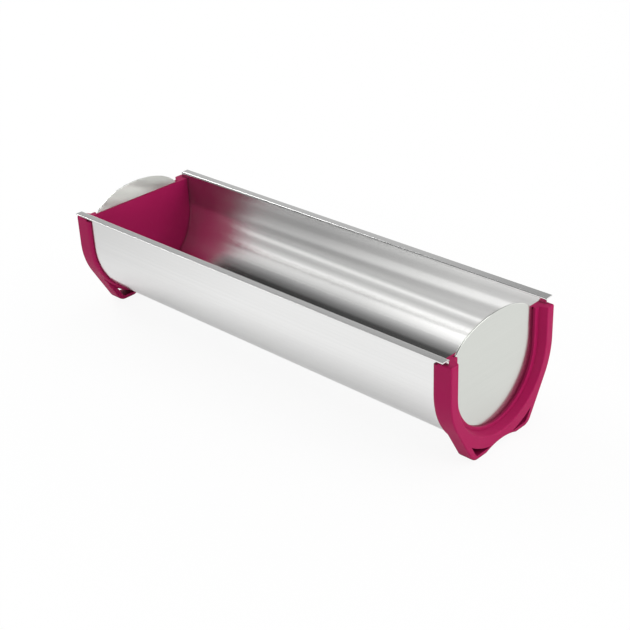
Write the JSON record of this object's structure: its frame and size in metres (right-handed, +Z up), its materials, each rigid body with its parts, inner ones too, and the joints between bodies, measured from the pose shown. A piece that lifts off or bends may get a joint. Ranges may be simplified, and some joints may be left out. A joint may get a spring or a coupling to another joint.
{
  "type": "yule log mould",
  "caption": "Half-round steel baking trough with a turned-out rim, closed at each end by a soft footed cap that holds a domed steel end plate in a slot.",
  "frame": {"origin": "on the table under the middle of the trough, at the level of the feet's soles", "axes": "+X along the trough, +Y across it, +Z up"},
  "size_m": [0.3068, 0.096, 0.0788],
  "materials": {
    "trough_steel": "bright brushed stainless steel",
    "plate_steel": "fine brushed stainless steel",
    "silicone": "satin moulded silicone, raspberry red"
  },
  "bodies": {
    "trough": {"trough": "trough_steel"},
    "end_cap_right": {"end_cap_right": "silicone"},
    "end_plate_right": {"end_plate_right": "plate_steel"},
    "end_cap_left": {"end_cap_left": "silicone"},
    "end_plate_left": {"end_plate_left": "plate_steel"}
  },
  "joints": [
    {"name": "end_cap_right_pull", "type": "slide", "parent": "trough", "child": "end_cap_right", "axis": [1, 0, 0], "range_m": [0, 0.03]},
    {"name": "end_plate_right_lift", "type": "slide", "parent": "end_cap_right", "child": "end_plate_right", "axis": [0, 0, 1], "range_m": [0, 0.065]},
    {"name": "end_cap_left_pull", "type": "slide", "parent": "trough", "child": "end_cap_left", "axis": [-1, 0, 0], "range_m": [0, 0.03]},
    {"name": "end_plate_left_lift", "type": "slide", "parent": "end_cap_left", "child": "end_plate_left", "axis": [0, 0, 1], "range_m": [0, 0.065]}
  ]
}
